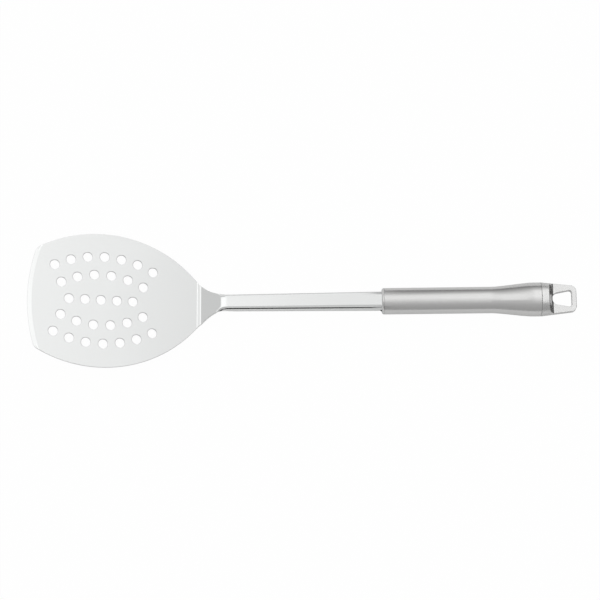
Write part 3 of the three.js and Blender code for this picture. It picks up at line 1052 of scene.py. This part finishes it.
@dataclass
class HandleTube:
    """The hollow tube: straight, then flared to a swell, then straight again for the cap."""

    WRAP = "wrap"

    start: float = 2.18
    length: float = 106.3
    radius: float = 9.0
    end_radius: float = 11.55
    wall: float = 0.8
    flare_length: float = 29.0
    flare_ease: float = 7.0
    seat: float = 4.8
    front_round: float = 0.06
    rear_round: float = 0.12
    segments: int = 192
    flare_steps: int = 40
    straight_steps: int = 12
    round_steps: int = 4

    @property
    def end(self) -> float:
        """Where the tube ends."""
        return self.start + self.length

    def wall_line(self, front: float, rear: float) -> list[tuple[float, float]]:
        """Follow one wall of the tube between its rounded ends.

        Args:
            front: Radius of the wall at the front.
            rear: Radius at the rear.

        Returns:
            Distance along the axis and radius.
        """
        flare_end = self.end - self.seat
        flare_start = flare_end - self.flare_length
        straight = self.start + self.front_round
        line = []
        for step in range(self.straight_steps):
            share = step / self.straight_steps
            line.append((straight + share * (flare_start - straight), front))
        for step in range(self.flare_steps + 1):
            t = step / self.flare_steps
            bow = ((1 - t) ** 3, 3 * t * (1 - t) ** 2, 3 * t * t * (1 - t), t**3)
            pulls = (flare_start, flare_start + self.flare_ease, flare_end - self.flare_ease, flare_end)
            along = sum(share * pull for share, pull in zip(bow, pulls))
            line.append((along, front * (bow[0] + bow[1]) + rear * (bow[2] + bow[3])))
        line.append((self.end - self.rear_round, rear))
        return line

    def profile(self) -> list[tuple[float, float]]:
        """Go once round the wall of the tube.

        Returns:
            Distance along the axis and radius, out along the outside and back along the bore.
        """
        outer = self.wall_line(self.radius, self.end_radius)
        inner = self.wall_line(self.radius - self.wall, self.end_radius - self.wall)
        rear, front = [], []
        for step in range(1, self.round_steps + 1):
            angle = math.pi / 2 * step / self.round_steps
            dip, reach = 1 - math.cos(angle), math.sin(angle) - 1
            rear.append((self.end + self.rear_round * reach, self.end_radius - self.rear_round * dip))
            front.append((self.start - self.front_round * reach, self.radius - self.front_round * dip))
        return [*reversed(front), *outer, *rear, *reversed(inner)]

    def build(self, pose: RestPose, finish: bpy.types.Material) -> bpy.types.Object:
        """Turn the tube and lay it in the row.

        Args:
            pose: Where it lies.
            finish: Its material.

        Returns:
            The finished piece.
        """
        profile = self.profile()
        bm = bmesh.new()
        wrap = bm.loops.layers.uv.new(self.WRAP)
        rings = []
        for along, radius in profile:
            ring = []
            for step in range(self.segments):
                angle = 2 * math.pi * step / self.segments
                place = (along, radius * math.sin(angle), -radius * math.cos(angle))
                ring.append(bm.verts.new(place))
            rings.append(ring)
        count = len(rings)
        for i, (along, _) in enumerate(profile):
            after = (i + 1) % count
            for step in range(self.segments):
                to = (step + 1) % self.segments
                face = bm.faces.new((rings[i][step], rings[after][step], rings[after][to], rings[i][to]))
                turns = (step, step, step + 1, step + 1)
                lengths = (along, profile[after][0], profile[after][0], along)
                for loop, turn, length in zip(face.loops, turns, lengths):
                    loop[wrap].uv = (length / self.length, turn / self.segments)
        bmesh.ops.recalc_face_normals(bm, faces=bm.faces)
        mesh = plain_mesh("tube", bm)
        mesh.materials.append(finish)
        mesh.transform(pose.handle)
        piece = link_object("dressed_handle_tube", mesh)
        weigh_normals(piece)
        hand_over(piece)
        return piece


@dataclass
class Casting(ABC):
    """A satin casting, skinned from a field that is negative inside its metal."""

    MARGIN_STEPS = 3
    FIRST_ROUNDS = 5
    RELAX_ROUNDS = 3
    LATER_ROUNDS = 3

    name: str
    step: float
    edge: float

    @property
    def margin(self) -> float:
        """Room that the grid keeps round the metal."""
        return self.MARGIN_STEPS * self.step

    @abstractmethod
    def box(self) -> tuple[np.ndarray, np.ndarray]:
        """Give the corners of a box round the casting."""

    @abstractmethod
    def metal(self, at: np.ndarray) -> np.ndarray:
        """Give the field at an array of points, negative inside the metal."""

    def slope(self, at: np.ndarray) -> np.ndarray:
        """Give the direction in which the field grows.

        Args:
            at: Points.

        Returns:
            The gradient at each.
        """
        made = np.empty_like(at)
        for axis in range(3):
            shift = np.zeros(3)
            shift[axis] = SLOPE_STEP
            made[:, axis] = (self.metal(at + shift) - self.metal(at - shift)) / (2 * SLOPE_STEP)
        return made

    def pulled(self, at: np.ndarray, rounds: int) -> np.ndarray:
        """Pull points on to the skin.

        Args:
            at: Points near it.
            rounds: How often they are pulled.

        Returns:
            The points on the skin.
        """
        for _ in range(rounds):
            slope = self.slope(at)
            size = np.maximum((slope**2).sum(1), LEAST_SLOPE)
            move = (self.metal(at) / size)[:, None] * slope
            length = np.linalg.norm(move, axis=1, keepdims=True)
            at = at - move * np.minimum(1, self.step / np.maximum(length, TINY))
        return at

    def skin(self) -> Skin:
        """Cover the metal with four-sided faces.

        Returns:
            The skin in the handle's frame.
        """
        low, high = self.box()
        counts = np.ceil((high - low) / self.step).astype(int) + 1
        axes = [low[k] + self.step * np.arange(counts[k]) for k in range(3)]
        grid = np.stack(np.meshgrid(*axes, indexing="ij"), -1)
        value = self.metal(grid)
        cells = tuple(counts - 1)

        def corner(offset: tuple[int, int, int], array: np.ndarray) -> np.ndarray:
            """Take the grid at one corner of every cell."""
            return array[tuple(slice(o, o + n) for o, n in zip(offset, cells))]

        offsets = [(i, j, k) for i in (0, 1) for j in (0, 1) for k in (0, 1)]
        full = sum(corner(offset, value < 0).astype(int) for offset in offsets)
        crossed = (full > 0) & (full < len(offsets))
        number = np.full(cells, -1)
        number[crossed] = np.arange(crossed.sum())
        total = np.zeros((crossed.sum(), 3))
        hits = np.zeros((crossed.sum(), 1))
        for one in offsets:
            for axis in range(3):
                if one[axis]:
                    continue
                two = tuple(o + (k == axis) for k, o in enumerate(one))
                a, b = corner(one, value)[crossed], corner(two, value)[crossed]
                change = (a < 0) != (b < 0)
                share = np.where(change, a / np.where(change, a - b, 1), 0)[:, None]
                start, end = corner(one, grid)[crossed], corner(two, grid)[crossed]
                total += change[:, None] * (start + share * (end - start))
                hits += change[:, None]
        points = self.pulled(total / hits, self.FIRST_ROUNDS)
        quads = self.joined(value < 0, number)
        for _ in range(self.RELAX_ROUNDS):
            points = self.pulled(self.relaxed(points, quads), self.LATER_ROUNDS)
        normals = self.slope(points)
        normals /= np.maximum(np.linalg.norm(normals, axis=1, keepdims=True), TINY)
        return Skin(points, quads, normals)

    @staticmethod
    def joined(inside: np.ndarray, number: np.ndarray) -> np.ndarray:
        """Join the cells round each grid edge that leaves the metal.

        Args:
            inside: Whether each grid point is in the metal.
            number: The vertex of each cell.

        Returns:
            The quads, facing out.
        """
        quads = []
        for axis in range(3):
            turned = (axis, (axis + 1) % 3, (axis + 2) % 3)
            metal = np.moveaxis(inside, turned, (0, 1, 2))
            cells = np.moveaxis(number, turned, (0, 1, 2))
            here, there = metal[:-1, 1:-1, 1:-1], metal[1:, 1:-1, 1:-1]
            around = (cells[:, :-1, :-1], cells[:, 1:, :-1], cells[:, 1:, 1:], cells[:, :-1, 1:])
            for leaving, order in ((here & ~there, (0, 1, 2, 3)), (~here & there, (3, 2, 1, 0))):
                quads.append(np.stack([around[k][leaving] for k in order], -1))
        return np.concatenate(quads)

    @staticmethod
    def relaxed(points: np.ndarray, quads: np.ndarray) -> np.ndarray:
        """Move each vertex half way to the middle of the faces round it.

        Args:
            points: The vertices.
            quads: The faces.

        Returns:
            The moved vertices.
        """
        middles = points[quads].mean(1)
        total = np.zeros_like(points)
        hits = np.zeros((len(points), 1))
        for k in range(4):
            np.add.at(total, quads[:, k], middles)
            np.add.at(hits, quads[:, k], 1.0)
        return (points + total / np.maximum(hits, 1)) / 2

    def build(self, pose: RestPose, finish: bpy.types.Material) -> bpy.types.Object:
        """Skin the casting and lay it in the row.

        Args:
            pose: Where it lies.
            finish: Its material.

        Returns:
            The finished piece.
        """
        skin = self.skin()
        mesh = bpy.data.meshes.new(self.name)
        mesh.from_pydata(skin.points.tolist(), [], skin.quads.tolist())
        mesh.transform(pose.handle)
        mesh.materials.append(finish)
        mesh.shade_smooth()
        turn = np.array(pose.handle.to_3x3().normalized())
        mesh.normals_split_custom_set_from_vertices((skin.normals @ turn.T).tolist())
        piece = link_object(f"dressed_{self.name}", mesh)
        hand_over(piece)
        return piece


@dataclass
class NoseBush(Casting):
    """The round-edged bush that closes the front of the tube round the shank."""

    name: str = "nose_bush"
    step: float = 0.2
    edge: float = 0.05
    front: float = 0.4
    length: float = 1.74
    flat: float = 6.9
    round_off: float = 2.1
    wall: float = 1.6
    spigot: float = 8.05
    spigot_length: float = 8.0
    cup: float = 7.25
    slot_fit: float = 0.2
    weld_radius: float = 1.0
    weld_height: float = -0.3
    weld_inset: float = 0.45
    weld_slack: float = 0.03
    stamping: Stamping = field(default_factory=Stamping)

    def box(self) -> tuple[np.ndarray, np.ndarray]:
        """Give the corners of a box round the bush.

        Returns:
            Its lowest and highest corner.
        """
        reach = self.flat + self.round_off + self.margin
        ahead = self.front - self.weld_radius - self.margin
        back = self.front + self.length + self.spigot_length + self.margin
        return np.array((ahead, -reach, -reach)), np.array((back, reach, reach))

    def slot(self, y: np.ndarray, z: np.ndarray) -> np.ndarray:
        """Give the field of the slot, the shape of the folded shank with its clearance.

        Args:
            y: Distance across the handle.
            z: Height over its axis.

        Returns:
            The field, negative in the slot.
        """
        shank = self.stamping
        flat, rolled = shank.section(shank.shank_end)
        lip = rolled - shank.fold_length
        middle = shank.shank_above_axis - shank.sheet / 2
        sine, cosine = math.sin(shank.fold_turn), math.cos(shank.fold_turn)
        across = np.abs(y) - flat
        drop = z - middle + shank.fold_middle
        hang = across * cosine - drop * sine
        off = across * sine + drop * cosine - shank.fold_middle
        turned = np.abs(np.hypot(across, drop) - shank.fold_middle)
        turned = np.where(hang < 0, turned, np.hypot(np.maximum(hang - lip, 0), off))
        return np.where(across < 0, np.abs(z - middle), turned) - shank.sheet / 2 - self.slot_fit

    def welds(self, at: np.ndarray) -> np.ndarray:
        """Give the field of the two small welds at the sides of the shank.

        Args:
            at: Points.

        Returns:
            The field, negative in a weld.
        """
        across = np.abs(at[..., 1]) - self.stamping.rear_half_width + self.weld_inset
        off = np.hypot(at[..., 0] - self.front, across)
        return np.hypot(off, at[..., 2] - self.weld_height) - self.weld_radius

    def metal(self, at: np.ndarray) -> np.ndarray:
        """Give the field of the bush.

        Args:
            at: Points.

        Returns:
            The field, negative in the metal.
        """
        x, y, z = at[..., 0] - self.front, at[..., 1], at[..., 2]
        radius = np.hypot(y, z)
        ahead = np.maximum(self.length - x, 0) / self.length
        out = np.maximum(radius - self.flat, 0) / self.round_off
        steep = np.hypot(ahead / self.length, out / self.round_off)
        collar = (ahead**2 + out**2 - 1) / np.maximum(2 * steep, LEAST_SLOPE)
        collar = round_max(collar, x - self.length, self.edge)
        back = self.length + self.spigot_length
        spigot = np.maximum(np.maximum(radius - self.spigot, x - back), self.length / 2 - x)
        cup = np.maximum(radius - self.cup, self.wall - x)
        solid = np.maximum(np.minimum(collar, spigot), -cup)
        solid = round_max(solid, -self.slot(y, z), self.edge)
        return np.minimum(solid, self.welds(at))

    def paint_shade_on_welds(self, piece: bpy.types.Object, pose: RestPose,
                    finish: bpy.types.Material) -> None:
        """Give the welds their own finish.

        Args:
            piece: The finished bush.
            pose: Where it lies.
            finish: The near-black material of the welds, which paints shade there.
        """
        piece.data.materials.append(finish)
        back = pose.handle.inverted()
        for polygon in piece.data.polygons:
            place = np.array(back @ polygon.center)
            polygon.material_index = int(abs(self.welds(place)) < self.weld_slack)


@dataclass
class EndCap(Casting):
    """The cast end: spigot and ring, a hollow step, and a flat lug with the hanging eye."""

    name: str = "end_cap"
    step: float = 0.28
    edge: float = 0.35
    seam_edge: float = 0.14
    start: float = 108.6
    radius: float = 11.6
    taper: float = 0.111
    ring: float = 5.0
    cove: float = 4.1
    lug: float = 15.1
    lug_thickness: float = 4.0
    lug_corner: float = 3.8
    spigot: float = 10.6
    spigot_length: float = 4.4
    spigot_share: float = 0.25
    core: float = 9.4
    floor: float = 2.4
    eye_bite: float = 1.1
    eye_end_bar: float = 3.2
    eye_rear_leg: float = 3.2
    eye_front_leg: float = 7.1
    eye_corner: float = 2.3
    eye_front_corner: float = 3.0

    @property
    def length(self) -> float:
        """Length from the tube to the end of the lug."""
        return self.ring + self.cove + self.lug

    @property
    def eye_rear(self) -> float:
        """Rear wall of the eye, from the front of the nose bush."""
        return self.start + self.length - self.eye_end_bar

    def radius_at(self, along: np.ndarray | float) -> np.ndarray | float:
        """Give the tapering radius at a distance from the tube."""
        return self.radius - self.taper * along

    def box(self) -> tuple[np.ndarray, np.ndarray]:
        """Give the corners of a box round the cap.

        Returns:
            Its lowest and highest corner.
        """
        reach = self.radius + self.margin
        low = self.start - self.spigot_length - self.margin
        high = self.start + self.length + self.margin
        return np.array((low, -reach, -reach)), np.array((high, reach, reach))

    def hollow(self, along: np.ndarray, z: np.ndarray) -> np.ndarray:
        """Give the field of what is cut away over and under the lug.

        Args:
            along: Distance from the tube.
            z: Height over the axis.

        Returns:
            The field, positive where metal is cut away.
        """
        top = self.radius_at(self.ring)
        rise = top - self.lug_thickness / 2
        up = np.maximum(top - np.abs(z), 0) / rise
        back = np.maximum(self.ring + self.cove - along, 0) / self.cove
        steep = np.hypot(back / self.cove, up / rise)
        return (1 - up**2 - back**2) / np.maximum(2 * steep, LEAST_SLOPE)

    def eye(self, along: np.ndarray, y: np.ndarray) -> np.ndarray:
        """Give the field of the hanging eye.

        Args:
            along: Distance from the tube.
            y: Distance across the lug.

        Returns:
            The field, negative in the eye.
        """
        front = self.ring + self.cove - self.eye_bite
        rear = self.length - self.eye_end_bar
        front_half = self.radius_at(front) - self.eye_front_leg
        rear_half = self.radius_at(rear) - self.eye_rear_leg
        spread = (rear_half - front_half) / (rear - front)
        side = (np.abs(y) - front_half - spread * (along - front)) / math.hypot(spread, 1)
        hole = round_max(side, front - along, self.eye_front_corner)
        return round_max(hole, along - rear, self.eye_corner)

    def metal(self, at: np.ndarray) -> np.ndarray:
        """Give the field of the cap.

        Args:
            at: Points.

        Returns:
            The field, negative in the metal.
        """
        along, y, z = at[..., 0] - self.start, at[..., 1], at[..., 2]
        radius = np.hypot(y, z)
        lean = math.hypot(self.taper, 1)
        cone = (radius - self.radius_at(along)) / lean
        side = (np.abs(y) - self.radius_at(along)) / lean
        body = np.maximum(cone, round_max(side, along - self.length, self.lug_corner))
        body = round_max(body, -along, self.seam_edge)
        body = round_max(body, self.hollow(along, z), self.edge)
        body = round_max(body, -self.eye(along, y), self.edge)
        spigot = np.maximum(radius - self.spigot, -along - self.spigot_length)
        spigot = np.maximum(spigot, along - self.ring * self.spigot_share)
        core = np.maximum(radius - self.core, along - self.ring + self.floor)
        return np.maximum(np.minimum(body, spigot), -core)


# Studio


@dataclass(frozen=True)
class Card:
    """An upright card that shows only in the metal's mirror images. Sizes are in metres."""

    name: str
    left: tuple[float, float]
    right: tuple[float, float]
    height: float
    low: float
    high: float
    rise: tuple[float, float]

    def glow(self) -> bpy.types.Material:
        """Make the card's glow, which brightens with height.

        Returns:
            The material.
        """
        made = bpy.data.materials.new(self.name)
        made.use_nodes = True
        sheet = NodeSheet(made.node_tree)
        coords = sheet.add("ShaderNodeTexCoord").outputs["Object"]
        height = sheet.add("ShaderNodeSeparateXYZ", {0: coords}).outputs["Z"]
        level = sheet.ramp(height, self.rise, (self.low, self.high), eased=False)
        light = sheet.add("ShaderNodeEmission", {"Strength": level})
        sheet.add("ShaderNodeOutputMaterial", {"Surface": light.outputs[0]})
        return made

    def build(self) -> bpy.types.Object:
        """Stand the card on the floor.

        Returns:
            The card.
        """
        corners = [(*self.left, 0.0), (*self.right, 0.0),
                   (*self.right, self.height), (*self.left, self.height)]
        mesh = bpy.data.meshes.new(self.name)
        mesh.from_pydata(corners, [], [(0, 1, 2, 3)])
        mesh.materials.append(self.glow())
        card = link_object(self.name, mesh)
        card.visible_camera = False
        card.visible_diffuse = False
        card.visible_transmission = False
        card.visible_shadow = False
        return card


@dataclass
class Studio:
    """Pale floor, a broad soft light overhead, cards that the metal mirrors, and the camera.

    The dome is painted by direction. Side, lift and deep are the parts of a direction along X, Z and Y
    over its length across X. The pairs of numbers that shape the dome are where a change of brightness
    starts and ends.
    """

    floor_size: float = 6.0
    floor_drop: float = 0.0002
    floor_colour: tuple[float, float, float] = (0.69, 0.69, 0.69)
    floor_glow: float = 0.985
    floor_gloss: float = 0.2
    focal_px: float = 1800.0
    frame_px: float = 600.0
    sensor_mm: float = 36.0
    camera_tilt: float = 14.244
    camera_roll: float = -0.389
    aim: tuple[float, float] = (-2.630, 3.687)
    distance: float = 1237.31
    clip: tuple[float, float] = (0.05, 50.0)
    least_across: float = 0.02
    overhead: float = 0.952
    overhead_side: tuple[float, float] = (0.02, 0.18)
    middle_dip: float = 0.865
    middle_side: tuple[float, float] = (-0.11, -0.03)
    strip_light: float = 1.8
    strip_start: tuple[float, float] = (0.15, 0.17)
    strip_end: tuple[float, float] = (0.27, 0.29)
    left_panel: float = 1.15
    left_panel_side: tuple[float, float] = (-0.45, -0.1)
    left_wall: float = 0.65
    left_wall_x: tuple[float, float] = (-0.3, -0.2)
    left_wall_z: tuple[float, float] = (0.6, 0.67)
    right_step: float = 0.82
    right_step_side: tuple[float, float] = (0.4, 0.475)
    right_wall: float = 0.08
    right_wall_side: tuple[float, float] = (0.5, 1.3)
    back_low: float = 0.95
    back_lift: tuple[float, float] = (0.0, 0.8)
    front_low: float = 0.4
    front_high: float = 0.57
    front_lift: tuple[float, float] = (0.3, 0.95)
    front_edge: tuple[float, float] = (0.0, 0.08)
    left_reach: float = 0.34
    left_reach_side: tuple[float, float] = (-0.08, -0.03)
    right_reach: float = 0.8
    right_reach_side: tuple[float, float] = (0.06, 0.32)
    key_power: float = 3.0
    key_size: float = 1.2
    key_place: tuple[float, float, float] = (-0.35, 0.55, 1.5)
    cards: tuple[Card, ...] = (
        Card("black_card", left=(-0.54, -2.5), right=(0.09, -2.5), height=3.19,
             low=0.04, high=0.74, rise=(1.6, 1.94)),
        Card("grey_card", left=(0.047, -0.1), right=(0.6, -0.1), height=0.14,
             low=0.4, high=0.52, rise=(0.03, 0.14)),
        Card("dark_card", left=(0.048, 0.17), right=(0.42, 0.8), height=0.43,
             low=0.18, high=0.92, rise=(0.0, 0.43)),
    )

    def floor(self) -> bpy.types.Object:
        """Lay the floor, white to the camera and pale to the metal, with the turner's shadow kept.

        Returns:
            The floor.
        """
        reach = self.floor_size / 2
        corners = [(-reach, -reach), (reach, -reach), (reach, reach), (-reach, reach)]
        mesh = bpy.data.meshes.new("floor")
        mesh.from_pydata([(x, y, -self.floor_drop) for x, y in corners], [], [(0, 1, 2, 3)])
        finish = bpy.data.materials.new("pale_floor")
        finish.use_nodes = True
        sheet = NodeSheet(finish.node_tree)
        matt = sheet.add("ShaderNodeBsdfDiffuse", {"Color": (*self.floor_colour, 1)})
        glow = sheet.add("ShaderNodeEmission", {"Strength": 1.0})
        rays = sheet.add("ShaderNodeLightPath").outputs
        seen = sheet.math("MAXIMUM", rays["Is Camera Ray"], rays["Is Transmission Ray"])
        gloss = sheet.math("MULTIPLY", rays["Is Glossy Ray"], self.floor_gloss)
        share = sheet.math("MULTIPLY_ADD", seen, self.floor_glow, gloss)
        mixed = sheet.add("ShaderNodeMixShader", {0: share, 1: matt.outputs[0], 2: glow.outputs[0]})
        sheet.add("ShaderNodeOutputMaterial", {"Surface": mixed.outputs[0]})
        mesh.materials.append(finish)
        floor = link_object("floor", mesh)
        return floor

    def dome(self) -> None:
        """Light the scene: broad panels overhead and behind, a grey front and dark ends."""
        world = bpy.data.worlds.new("studio")
        bpy.context.scene.world = world
        world.use_nodes = True
        sheet = NodeSheet(world.node_tree)
        way = sheet.add("ShaderNodeTexCoord").outputs["Generated"]
        x, y, z = sheet.add("ShaderNodeSeparateXYZ", {0: way}).outputs
        across = sheet.math("MAXIMUM", sheet.hypot(y, z), self.least_across)
        side = sheet.math("DIVIDE", x, across)
        lift = sheet.math("DIVIDE", z, across)
        deep = sheet.math("DIVIDE", y, across)

        left_dip = sheet.ramp(side, self.middle_side, (1.0, self.middle_dip))
        over = sheet.ramp(side, self.overhead_side, (left_dip, self.overhead))
        over = sheet.ramp(side, self.left_panel_side, (self.left_panel, over))
        strip = sheet.ramp(side, self.strip_start, (over, self.strip_light))
        over = sheet.ramp(side, self.strip_end, (strip, over))
        over = sheet.ramp(side, self.right_step_side, (over, self.right_step))

        back = sheet.ramp(lift, self.back_lift, (self.back_low, over), eased=False)
        wall = sheet.ramp(z, self.left_wall_z, (self.left_wall, back))
        back = sheet.ramp(x, self.left_wall_x, (wall, back))

        front = sheet.ramp(lift, self.front_lift, (self.front_low, self.front_high))

        left = sheet.ramp(side, self.left_reach_side, (self.left_reach, 0.0))
        right = sheet.ramp(side, self.right_reach_side, (0.0, self.right_reach), eased=False)
        edge = sheet.math("ADD", deep, sheet.math("ADD", left, right))
        around = sheet.ramp(edge, self.front_edge, (front, back))
        level = sheet.ramp(side, self.right_wall_side, (around, self.right_wall))
        rays = sheet.add("ShaderNodeLightPath").outputs
        seen = sheet.math("MAXIMUM", rays["Is Camera Ray"], rays["Is Transmission Ray"])
        mixed = sheet.math("MULTIPLY_ADD", sheet.math("SUBTRACT", 1.0, level), seen, level)
        light = sheet.add("ShaderNodeBackground", {"Color": (1, 1, 1, 1), "Strength": mixed})
        sheet.add("ShaderNodeOutputWorld", {"Surface": light.outputs[0]})

    def key(self) -> None:
        """Hang the soft lamp that gives the turner its shadow."""
        lamp = bpy.data.lights.new("key", "AREA")
        lamp.energy = self.key_power
        lamp.size = self.key_size
        made = bpy.data.objects.new("key", lamp)
        made.location = self.key_place
        made.rotation_euler = (-Vector(self.key_place)).to_track_quat("-Z", "Y").to_euler()
        made.visible_glossy = False
        bpy.context.scene.collection.objects.link(made)

    def camera(self) -> None:
        """Stand the camera where the photograph was taken from."""
        tilt, roll = math.radians(self.camera_tilt), math.radians(self.camera_roll)
        back = Vector((0, -math.sin(tilt), math.cos(tilt)))
        level, rise = Vector((1, 0, 0)), Vector((0, math.cos(tilt), math.sin(tilt)))
        right = math.cos(roll) * level + math.sin(roll) * rise
        up = -math.sin(roll) * level + math.cos(roll) * rise
        eye = (Vector((*self.aim, 0)) + self.distance * back) * MM
        data = bpy.data.cameras.new("camera")
        data.sensor_width = self.sensor_mm
        data.lens = self.sensor_mm * self.focal_px / self.frame_px
        data.clip_start, data.clip_end = self.clip
        made = bpy.data.objects.new("camera", data)
        made.matrix_world = Matrix.Translation(eye) @ Matrix((right, up, back)).transposed().to_4x4()
        bpy.context.scene.collection.objects.link(made)
        bpy.context.scene.camera = made

    def build(self) -> None:
        """Set up the whole studio."""
        bpy.context.scene.view_settings.view_transform = "Standard"
        self.floor()
        for card in self.cards:
            card.build()
        self.dome()
        self.key()
        self.camera()


def main() -> None:
    """Load the frame, build each piece in its finish, and set up the studio."""
    logging.basicConfig(level=logging.INFO, format="%(name)s %(message)s")
    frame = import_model()
    pose = RestPose.from_record(frame["record"])
    polished = PolishedSteel("polished_sheet", colour=(0.875, 0.885, 0.88), shade=(0.86, 0.87, 0.865),
                             smooth=0.1, dull=0.15)
    brushed = BrushedSteel("brushed_tube", colour=(0.748, 0.746, 0.74), shade=(0.736, 0.734, 0.728),
                           smooth=0.21, dull=0.25, turn=pose.handle_lean)
    turned = SatinSteel("turned_nose", colour=(0.77, 0.77, 0.765), shade=(0.74, 0.74, 0.735),
                        smooth=0.14, dull=0.2)
    cast = SatinSteel("satin_casting", colour=(0.715, 0.715, 0.71), shade=(0.695, 0.695, 0.69),
                      smooth=0.22, dull=0.3)
    # Near-black colour for the weld bumps: painted shade for the dark shadow at the joint of shank and
    # bush.
    painted_weld_shade = SatinSteel("dark_weld", colour=(0.03, 0.028, 0.026), shade=(0.02, 0.019, 0.018),
                      smooth=0.45, dull=0.6)
    stamping = Stamping()
    stamping.build(pose, polished.material())
    nose = NoseBush(stamping=stamping)
    nose.paint_shade_on_welds(nose.build(pose, turned.material()), pose, painted_weld_shade.material())
    HandleTube().build(pose, brushed.material())
    EndCap().build(pose, cast.material())
    Studio().build()


if __name__ == "__main__":
    main()
